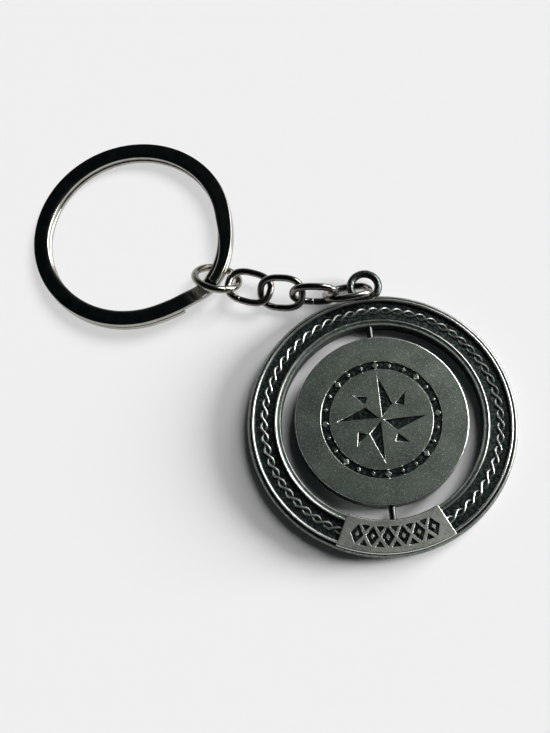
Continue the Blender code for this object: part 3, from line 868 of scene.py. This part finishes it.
def rose_outlines(mirrored):
    """The sunk half of each point: four long points in front, and four short ones that show between them."""
    hip = np.array([ROSE_HIP_SHARE, -ROSE_HIP_SHARE]) * ROSE_REACH
    long_tip = np.array([ROSE_REACH, 0.0])
    long_half = ((0.0, 0.0), long_tip, hip)
    shoulder = hip + (np.array([0.0, -ROSE_REACH]) - hip) * ROSE_SHOULDER_SHARE
    short_tip = np.array([1.0, -1.0]) * ROSE_REACH * ROSE_SHORT_SHARE * math.sqrt(0.5)
    short_half = (hip, short_tip, shoulder)
    outlines = []
    for quarter_deg in (0.0, 90.0, 180.0, 270.0):
        for corners in (long_half, short_half):
            narrowed = straight_outline(corners)(ROSE_LINE)
            outlines.append(straight_outline(about_pendant(narrowed, quarter_deg, mirrored)))
    return outlines


def stud_outlines(mirrored):
    """The raised studs of the sunk ring, with a larger one at each point of the rose."""
    outlines = []
    middle = (GROOVE_OUTER + GROOVE_INNER) / 2
    for index in range(STUD_COUNT):
        is_point = index % (STUD_COUNT // ROSE_POINTS) == 0
        half = POINT_STUD_HALF if is_point else STUD_HALF
        heading = 90.0 + index * 360.0 / STUD_COUNT
        corners = about_pendant(lozenge(middle, half, half), heading, mirrored)
        outlines.append(straight_outline(corners, outwards=1.0))
    return outlines


print("the rose reaches", round(ROSE_REACH / MM, 2), "mm from the middle")

# %% [markdown]
# The disc's two faces are made alike, and mirrored, so that they show the same rose. Each face gives back
# the loops of its rounded edge, and one skirt joins the upper loops to the lower ones through the side
# wall.

# %% The disc
DISC_EDGE = 0.20 * MM
DISC_STEPS = 256
# the disc's side wall is dark: partly patina, partly painted shade for the gap round the disc
DISC_WALL_WEAR_AND_SHADE = 0.12
GROOVE_STEPS = 192
ENGRAVING_DEPTH = 0.30 * MM
ENGRAVING_SLOPE = 0.16 * MM


def add_disc_face(shape, level, direction, mirrored):
    """One engraved face. Direction 1 looks up and -1 looks down."""
    depth = direction * ENGRAVING_DEPTH
    floor = level - depth
    groove = [ring_outline(GROOVE_OUTER, GROOVE_STEPS, -1.0), ring_outline(GROOVE_INNER, GROOVE_STEPS)]
    studs = stud_outlines(mirrored)
    cuts = rose_outlines(mirrored)
    for outline in groove + studs + cuts:
        add_skirt(shape, cut_rows(outline, level, depth, ENGRAVING_SLOPE))
    add_flat(shape, [outline(ENGRAVING_SLOPE) for outline in groove + studs], floor, HOLLOW_WEAR)
    for outline in cuts:
        add_flat(shape, [outline(ENGRAVING_SLOPE)], floor, HOLLOW_WEAR)
    for outline in studs:
        add_flat(shape, [outline(0.0)], level, FACE_WEAR)
    edge = ring_outline(DISC_RADIUS - DISC_EDGE, DISC_STEPS)
    add_flat(shape, [edge(0.0), groove[0](0.0)], level, FACE_WEAR)
    add_flat(shape, [outline(0.0) for outline in [groove[1], *cuts]], level, FACE_WEAR)
    return round_edge_rows(edge, level, DISC_EDGE, direction, TOP_WORN, DISC_WALL_WEAR_AND_SHADE)


def make_disc():
    shape = new_plate()
    upper = add_disc_face(shape, DISC_TOP, 1.0, mirrored=False)
    lower = add_disc_face(shape, DISC_FOOT, -1.0, mirrored=True)
    add_skirt(shape, upper + lower[::-1])
    return finish_plate("engraved_disc", shape, DISC_METAL)


disc = make_disc()
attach(disc, "spinner")
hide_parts("spinner_disc")
print("disc:", len(disc.data.polygons), "faces")

# %% [markdown]
# Two short steel pins carry the disc. Each is a plain turned rod, so it gets a turned skin with small
# rounded ends. Its colour is painted shade: far darker than bare steel, to match the shaded opening.
# Marks run round the rod where the lathe left them, because the noise is stretched across the rod and
# not along it.

# %% The pins' steel
# painted shade: both pin colours are far darker than bare steel, to match the shaded opening
PIN_SHADE_DARK = (0.03, 0.035, 0.033)
PIN_SHADE_LIGHT = (0.16, 0.17, 0.16)
PIN_MARK_SIZE = 0.05 * MM
PIN_MARK_STRETCH = (0.1, 1.0, 0.1)
PIN_ROUGHNESS = 0.22
PIN_MARK_ROUGHNESS = 0.15


def pin_steel():
    finish = Finish("turned_pin_steel")
    marks = finish.grain(PIN_MARK_SIZE, stretch=PIN_MARK_STRETCH)
    finish.set(base_color=finish.blend(PIN_SHADE_DARK, PIN_SHADE_LIGHT, marks), metallic=1.0)
    finish.set(roughness=marks * PIN_MARK_ROUGHNESS + PIN_ROUGHNESS)
    return finish.material


PIN_STEEL = pin_steel()
print("finish:", PIN_STEEL.name)

# %% The pins
PIN_SIDES = 32
PIN_ROUNDING = 0.12 * MM
PIN_ROUNDING_POINTS = 6


def make_pin(node):
    low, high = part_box(node)
    radius = (high.x - low.x) / 2
    middle = (low + high) / 2
    arc = np.radians(np.linspace(0.0, 90.0, PIN_ROUNDING_POINTS))
    in_from_end = PIN_ROUNDING * (1 - np.sin(arc))
    reach = radius - PIN_ROUNDING * (1 - np.cos(arc))
    y = np.concatenate([low.y + in_from_end[::-1], high.y - in_from_end])[:, None]
    reach = np.concatenate([reach[::-1], reach])[:, None]
    turns = once_round(PIN_SIDES)
    x = middle.x + reach * np.cos(turns)
    z = middle.z + reach * np.sin(turns)
    grid = np.stack([x, np.broadcast_to(y, x.shape), z], axis=-1)
    made = skin(f"{node}_turned", grid, PIN_STEEL, loop_rows=False)
    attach(made, "pendant_frame")
    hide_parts(node)
    return made


for node in ("upper_pin", "lower_pin"):
    print(make_pin(node).name)

# %% [markdown]
# The links are bent from round wire and plated with dark nickel: a mirror, but a brownish one. A mirror
# shows only what is round it, so most of its look comes from the light, and the finish adds only faint
# scuffs and a slight change of gloss. The jump ring is plated a little brighter, and the split ring is
# polished spring steel. Such wire would also throw bright glints on the table. The photograph shows none,
# so each wire is hidden from the table's diffuse rays, and keeps its shadow.

# %% Wire finishes
PLATE_CLOUD_SIZE = 1.5 * MM
SCUFF_SIZE = 0.09 * MM
SCUFF_DEPTH = 0.002 * MM
DULL_PLATE_SHARE = 0.8
DULL_CLOUDS = (0.3, 0.6)
SCUFF_STARTS = (0.55, 0.8)
PLATE_CLOUD_ROUGHNESS = 0.08


def plated_wire(name, colour, roughness, scuff):
    finish = Finish(name)
    cloud = finish.grain(PLATE_CLOUD_SIZE)
    scuffs = finish.grain(SCUFF_SIZE, detail=4.0)
    dull = times(colour, DULL_PLATE_SHARE)
    finish.set(base_color=finish.blend(dull, colour, cloud.within(*DULL_CLOUDS)), metallic=1.0)
    finish.set(roughness=cloud * PLATE_CLOUD_ROUGHNESS + scuffs.within(*SCUFF_STARTS) * scuff + roughness)
    finish.relief(scuffs, SCUFF_DEPTH)
    return finish.material


DARK_NICKEL = plated_wire("dark_nickel_plate", (0.27, 0.25, 0.23), roughness=0.12, scuff=0.16)
BRIGHT_NICKEL = plated_wire("bright_nickel_plate", (0.33, 0.315, 0.27), roughness=0.11, scuff=0.14)
SPRING_STEEL = plated_wire("polished_spring_steel", (0.40, 0.39, 0.35), roughness=0.13, scuff=0.12)
print("finishes:", DARK_NICKEL.name, BRIGHT_NICKEL.name, SPRING_STEEL.name)

# %% [markdown]
# Each link leans its own way, and its solid already knows how. The points of the solid spread most along
# the link, less across it and least through it, so the directions of spread are the link's own axes. That
# is the job of a singular value decomposition, and it saves repeating any angles here.

# %% How a loop of wire lies
POINT_DECIMALS = 7


def lie_of(node):
    """The middle of a node's mesh and its directions of greatest, middle and least spread."""
    points = np.array([vertex.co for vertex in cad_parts[node].data.vertices])
    points = np.unique(np.round(points, POINT_DECIMALS), axis=0)
    middle = points.mean(axis=0)
    axes = np.linalg.svd(points - middle, full_matrices=False)[2]
    return middle, axes


jump_middle, jump_axes = lie_of("jump_ring")
print("jump ring middle in mm:", np.round(jump_middle / MM, 2))

# %% [markdown]
# A link is cut from a coil of wire and closed again, so each has a hairline seam where its two ends meet.
# The oval is a superellipse: power 2 is an ellipse, and a little more gives the straighter sides of a real
# link. Such a curve has no simple rule for its length, so it is walked in many small steps and then divided
# evenly.

# %% Loops of wire
SEAM_GAP = 0.05 * MM
CUT_END_SHARE = 0.93
OVAL_SAMPLES = 2001
LOOP_POINTS = 128
WIRE_SIDES = 28


def oval_line(half_length, half_width, power, seam_share):
    """Evenly spaced points round an oval, from one side of the seam to the other."""
    turns = np.linspace(0.0, math.tau, OVAL_SAMPLES) + seam_share * math.tau
    x = np.sign(np.cos(turns)) * np.abs(np.cos(turns)) ** (2 / power) * half_length
    y = np.sign(np.sin(turns)) * np.abs(np.sin(turns)) ** (2 / power) * half_width
    walked = np.concatenate([[0.0], np.cumsum(np.hypot(np.diff(x), np.diff(y)))])
    wanted = np.linspace(SEAM_GAP / 2, walked[-1] - SEAM_GAP / 2, LOOP_POINTS)
    return np.interp(wanted, walked, x), np.interp(wanted, walked, y)


def wire_loop(name, lie, oval, wire_radius, finish):
    """A loop of round wire in its own plane, a little thinner at the cut ends on both sides of its seam."""
    middle, axes = lie
    x, y = oval_line(*oval)
    line = middle + x[:, None] * axes[0] + y[:, None] * axes[1]
    radius = np.full(LOOP_POINTS, wire_radius)
    radius[[0, -1]] *= CUT_END_SHARE
    grid = tube_rows(line, radius, WIRE_SIDES, closed=False, upward=axes[2])
    made = skin(name, grid, finish, loop_rows=False)
    made.visible_diffuse = False
    return made


print("a loop of wire has", LOOP_POINTS * WIRE_SIDES, "points")

# %% [markdown]
# Four links and the jump ring are the same kind of loop. The links are ovals and the jump ring is round, and
# the seams lie at different places round them, as they do in a real chain.

# %% Links and jump ring
LINK_WIRE_RADIUS = 0.55 * MM
LINK_HALF_LENGTH = 3.35 * MM
LINK_HALF_WIDTH = 2.45 * MM
LINK_POWER = 2.6
LINK_SEAM_SHARES = (0.22, 0.75, 0.28, 0.72)
JUMP_RING_WIRE_RADIUS = 0.575 * MM
JUMP_RING_RADIUS = 3.5 * MM
JUMP_SEAM_SHARE = 0.1
ROUND_POWER = 2.0

for number, seam_share in enumerate(LINK_SEAM_SHARES, start=1):
    node = f"chain_link_{number}"
    oval = (LINK_HALF_LENGTH, LINK_HALF_WIDTH, LINK_POWER, seam_share)
    link = wire_loop(f"{node}_wire", lie_of(node), oval, LINK_WIRE_RADIUS, DARK_NICKEL)
    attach(link, node)
    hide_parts(node)
    print(link.name, len(link.data.polygons), "faces")

oval = (JUMP_RING_RADIUS, JUMP_RING_RADIUS, ROUND_POWER, JUMP_SEAM_SHARE)
jump_ring = wire_loop("jump_ring_wire", (jump_middle, jump_axes), oval, JUMP_RING_WIRE_RADIUS, BRIGHT_NICKEL)
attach(jump_ring, "jump_ring")
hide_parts("jump_ring")
print(jump_ring.name, len(jump_ring.data.polygons), "faces")

# %% [markdown]
# The split ring is one flat wire wound into two turns, with a ramp where it steps down from the upper turn
# to the lower one. The band is a section carried round a rule: the rule gives the angle, the height and the
# radius for every place along the wire, and the section narrows towards both free ends. Its corners are
# quarters of an oval, wide and shallow on the inside, so that the face turns softly towards the hole.

# %% The band's section
BAND_WIDTH = 2.55 * MM
STACK_HEIGHT = 2.12 * MM
COIL_GAP = 0.10 * MM
BAND_THICKNESS = (STACK_HEIGHT - COIL_GAP) / 2
CORNER_DROP = 0.32 * MM
OUTER_CORNER = 0.18 * MM
INNER_CORNER = 0.90 * MM
CORNER_SHARES = np.linspace(0.0, 1.0, 12)


def band_corners(width, inner_shift):
    """The wire's section as (across, up) points. Each corner is a quarter of an oval."""
    outside, inside, high = width / 2, -width / 2 + inner_shift, BAND_THICKNESS / 2
    corners = (
        (outside - OUTER_CORNER, CORNER_DROP - high, OUTER_CORNER, 270.0),
        (outside - OUTER_CORNER, high - CORNER_DROP, OUTER_CORNER, 0.0),
        (inside + INNER_CORNER, high - CORNER_DROP, INNER_CORNER, 90.0),
        (inside + INNER_CORNER, CORNER_DROP - high, INNER_CORNER, 180.0),
    )
    points = []
    for x, y, reach, start_deg in corners:
        turns = np.radians(start_deg + 90.0 * CORNER_SHARES)
        points.append(np.stack([x + reach * np.cos(turns), y + CORNER_DROP * np.sin(turns)], axis=-1))
    return np.concatenate(points)


print("the band's section has", len(band_corners(BAND_WIDTH, 0.0)), "points")

# %% The band's way round
RING_OUTER = 16.3 * MM
BAND_END_WIDTH = 1.5 * MM
RING_BULGE = 0.8 * MM
BULGE_HALF_SPAN_DEG = 40.0
RAMP_SPAN_DEG = 17.0
RAMP_END_GAP_DEG = 2.5
FREE_END_AHEAD_DEG = 3.0
TAPER_SPAN_DEG = 45.0
RING_STEPS = 420
RAMP_START_DEG = 360.0 - RAMP_SPAN_DEG - RAMP_END_GAP_DEG
BAND_LAST_DEG = 2 * RAMP_START_DEG + RAMP_SPAN_DEG


def band_rows():
    """The band about the ring's own middle, with its X towards the jump ring."""
    rise = (STACK_HEIGHT - BAND_THICKNESS) / 2
    rows = []
    for turn_deg in np.linspace(0.0, BAND_LAST_DEG, RING_STEPS):
        ramp_share = smooth_step((turn_deg - RAMP_START_DEG) / RAMP_SPAN_DEG)
        angle = turn_deg - FREE_END_AHEAD_DEG
        wrapped = (angle + 180.0) % 360.0 - 180.0
        bulge = RING_BULGE * smooth_step(1.0 - abs(wrapped) / BULGE_HALF_SPAN_DEG)
        taper = smooth_step(1.0 - min(turn_deg, BAND_LAST_DEG - turn_deg) / TAPER_SPAN_DEG)
        section = band_corners(BAND_WIDTH, (BAND_WIDTH - BAND_END_WIDTH) * taper)
        radius = RING_OUTER - BAND_WIDTH / 2 + bulge + section[:, 0]
        height = rise * (1.0 - 2.0 * ramp_share) + section[:, 1]
        turn = math.radians(angle)
        rows.append(np.stack([radius * math.cos(turn), radius * math.sin(turn), height], axis=-1))
    return np.array(rows)


print("the band goes round", round(BAND_LAST_DEG / 360.0, 2), "times")

# %% [markdown]
# Where the ring lies follows from what it rests on: its far side is on the table, and its near side is
# lifted by the jump ring's low wire. The lift over the ring's length is the sine of its tilt.

# %% The split ring
RING_HEADING = math.radians(143.4)
RING_SLACK = 0.65 * MM
RING_LIFT = 1.6 * MM


def ring_lie():
    """The middle of the split ring, and its directions towards the jump ring, across and up."""
    heading = np.array([math.cos(RING_HEADING), math.sin(RING_HEADING), 0.0])
    band_radius = RING_OUTER - BAND_WIDTH / 2 + RING_BULGE
    tilt = math.asin(RING_LIFT / (band_radius + RING_OUTER))
    long_way = -heading * math.cos(tilt) + np.array([0.0, 0.0, math.sin(tilt)])
    wide_way = np.cross((0.0, 0.0, 1.0), long_way)
    wide_way /= np.linalg.norm(wide_way)
    middle = jump_middle + heading * (RING_SLACK + band_radius)
    middle[2] = RING_OUTER * math.sin(tilt) + STACK_HEIGHT / 2 * math.cos(tilt)
    return middle, np.array([long_way, wide_way, np.cross(long_way, wide_way)])


ring_middle, ring_axes = ring_lie()
split_ring = skin("split_ring_band", ring_middle + band_rows() @ ring_axes, SPRING_STEEL, loop_rows=False)
split_ring.visible_diffuse = False
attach(split_ring, "split_ring")
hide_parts("split_ring")
print("split ring middle in mm:", np.round(ring_middle / MM, 2))

# %% [markdown]
# The table is a plain pale sheet. It belongs to the stage and not to the object. Its colour is nearly white
# and quite rough, because in the photograph it shows soft shadows and no reflections. It is far wider than
# any view needs, so that its edge lies on the horizon.

# %% Table
TABLE_HALF_SIZE = 12.0
TABLE_COLOUR = (0.862, 0.858, 0.86, 1.0)
TABLE_ROUGHNESS = 0.9
TABLE_SPECULAR = 0.1


def make_table():
    finish = Finish("pale_table")
    finish.set(base_color=TABLE_COLOUR, roughness=TABLE_ROUGHNESS)
    finish.shader.inputs["Specular IOR Level"].default_value = TABLE_SPECULAR
    mesh = bpy.data.meshes.new("table")
    corners = [times((x, y, 0.0), TABLE_HALF_SIZE) for x, y in ((-1, -1), (1, -1), (1, 1), (-1, 1))]
    mesh.from_pydata(corners, [], [(0, 1, 2, 3)])
    mesh.materials.append(finish.material)
    made = bpy.data.objects.new("table", mesh)
    bpy.context.scene.collection.objects.link(made)
    return made


table = make_table()
print("the table is", 2 * TABLE_HALF_SIZE, "m across")

# %% [markdown]
# Polished metal shows the room. In the photograph the flat faces are nearly black and the rounded edges are
# bright, which says that the room is dark overhead and a little lighter at table height. The world is
# therefore a ramp over the height of the direction. Its black is slightly green, as in the photograph.

# %% Room
ROOM_STOPS = (
    (0.00, (0.30, 0.30, 0.29)),
    (0.15, (0.24, 0.24, 0.23)),
    (0.38, (0.040, 0.048, 0.050)),
    (0.62, (0.0026, 0.0056, 0.0068)),
    (1.00, (0.0014, 0.0042, 0.0056)),
)


def make_room():
    world = bpy.data.worlds.new("room")
    bpy.context.scene.world = world
    room = Nodes(world, "Background")
    direction = room.node("ShaderNodeTexCoord", output="Generated")
    height = room.node("ShaderNodeSeparateXYZ", None, {0: direction}, output="Z")
    colour = room.node("ShaderNodeValToRGB", {"stops": ROOM_STOPS}, {0: height})
    room.feed(room.shader.inputs["Color"], colour)


make_room()
print("the room's ramp has", len(ROOM_STOPS), "stops")

# %% [markdown]
# All lamps are sun lamps, because parallel light keeps a wide floor even, and their angle makes them as
# soft as a window. A lamp can be told what it lights and which pieces throw its shadows, which is called
# light linking. No real lamp can do that: it is a choice for the picture.

# %% A soft lamp


def linked(name, things):
    """A collection outside the scene, which a lamp's links point to."""
    made = bpy.data.collections.new(name)
    for thing in things:
        made.objects.link(thing)
    return made


def make_lamp(name, azimuth_deg, elevation_deg, softness_deg, strength, lights, shaded_by=()):
    """Soft parallel light on these things. Where pieces are named, they alone cast its shadows."""
    light = bpy.data.lights.new(name, "SUN")
    light.angle = math.radians(softness_deg)
    light.energy = strength
    made = bpy.data.objects.new(name, light)
    bpy.context.scene.collection.objects.link(made)
    azimuth, elevation = math.radians(azimuth_deg), math.radians(elevation_deg)
    level = math.cos(elevation)
    outward = Vector((level * math.cos(azimuth), level * math.sin(azimuth), math.sin(elevation)))
    made.rotation_euler = outward.to_track_quat("Z", "Y").to_euler()
    made.light_linking.receiver_collection = linked(f"{name}_lights", lights)
    if shaded_by:
        made.light_linking.blocker_collection = linked(f"{name}_blockers", shaded_by)


solids = list(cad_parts.values())
metal = [thing for thing in bpy.data.objects if thing.type == "MESH" and thing not in solids]
metal.remove(table)
pendant = (rim, banner, disc, eyelet)
print("the metal's lamps light", len(metal), "pieces")

# %% [markdown]
# Two lamps, a high and a low window, light the metal. The table has three of its own, whose shares make up
# its whole light, because the photograph's shadows come from no single lamp: the thick pendant has a long
# soft shadow, and the ring and the chain a short one. A low lamp spreads its light over more of the table,
# so its strength is divided by the sine of its elevation.

# %% Lamps
# azimuth, elevation and softness in degrees, then the strength and what shades it
METAL_LAMPS = (
    ("high_window", 37.0, 36.0, 34.0, 2.75, ()),
    ("low_window", 4.0, 14.0, 26.0, 2.6, pendant),
)
for name, azimuth, elevation, softness, strength, shaded_by in METAL_LAMPS:
    make_lamp(name, azimuth, elevation, softness, strength, metal, shaded_by)

# the same, with the share of the table's light in place of the strength
TABLE_LIGHT = 3.07
TABLE_LAMPS = (
    ("long_shadow", 4.0, 14.0, 22.0, 0.50, pendant),
    ("middle_shadow", 37.0, 24.0, 20.0, 0.17, pendant),
    ("short_shadow", 37.0, 50.0, 32.0, 0.33, ()),
)
for name, azimuth, elevation, softness, share, shaded_by in TABLE_LAMPS:
    strength = TABLE_LIGHT * share / math.sin(math.radians(elevation))
    make_lamp(name, azimuth, elevation, softness, strength, [table], shaded_by)
bpy.context.scene.view_settings.view_transform = "Standard"
print(len(METAL_LAMPS) + len(TABLE_LAMPS), "lamps are on")
